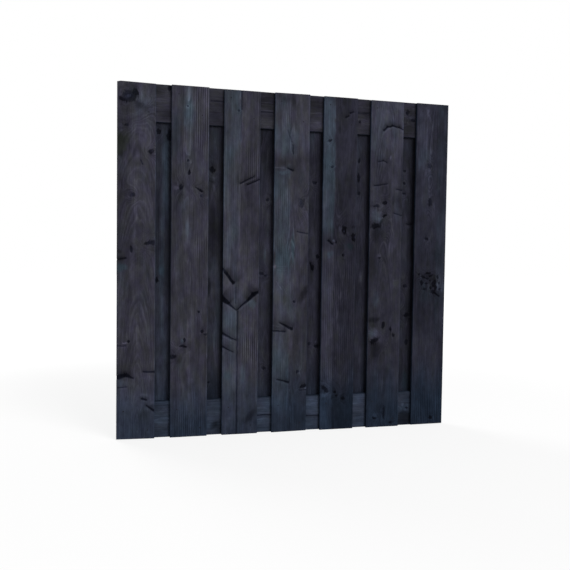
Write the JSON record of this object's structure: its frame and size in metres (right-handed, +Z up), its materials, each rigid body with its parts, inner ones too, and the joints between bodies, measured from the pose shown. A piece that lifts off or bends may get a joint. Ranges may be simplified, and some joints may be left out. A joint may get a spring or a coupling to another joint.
{
  "type": "wooden fence panel",
  "caption": "Square double-sided fence panel of wide upright boards, nailed by turns to the front and the back of a top and a bottom rail board, stained black.",
  "frame": {"origin": "middle of the panel's bottom edge, midway through its thickness", "axes": "+X to the right along the panel as seen from the front, -Y towards the front, +Z up"},
  "size_m": [1.8, 0.05, 1.8],
  "materials": {
    "black_stained_wood": "sawn softwood, stained black with a blue-grey cast, grain and knots showing through",
    "stained_nail": "steel nail heads stained over with the boards"
  },
  "bodies": {
    "root": {"front_board_1": "black_stained_wood", "front_board_2": "black_stained_wood", "front_board_3": "black_stained_wood", "front_board_4": "black_stained_wood", "front_board_5": "black_stained_wood", "front_board_6": "black_stained_wood", "front_board_7": "black_stained_wood", "back_board_1": "black_stained_wood", "back_board_2": "black_stained_wood", "back_board_3": "black_stained_wood", "back_board_4": "black_stained_wood", "back_board_5": "black_stained_wood", "back_board_6": "black_stained_wood", "top_rail": "black_stained_wood", "bottom_rail": "black_stained_wood", "front_nails_1": "stained_nail", "front_nails_2": "stained_nail", "front_nails_3": "stained_nail", "front_nails_4": "stained_nail", "front_nails_5": "stained_nail", "front_nails_6": "stained_nail", "front_nails_7": "stained_nail", "back_nails_1": "stained_nail", "back_nails_2": "stained_nail", "back_nails_3": "stained_nail", "back_nails_4": "stained_nail", "back_nails_5": "stained_nail", "back_nails_6": "stained_nail"}
  },
  "joints": []
}
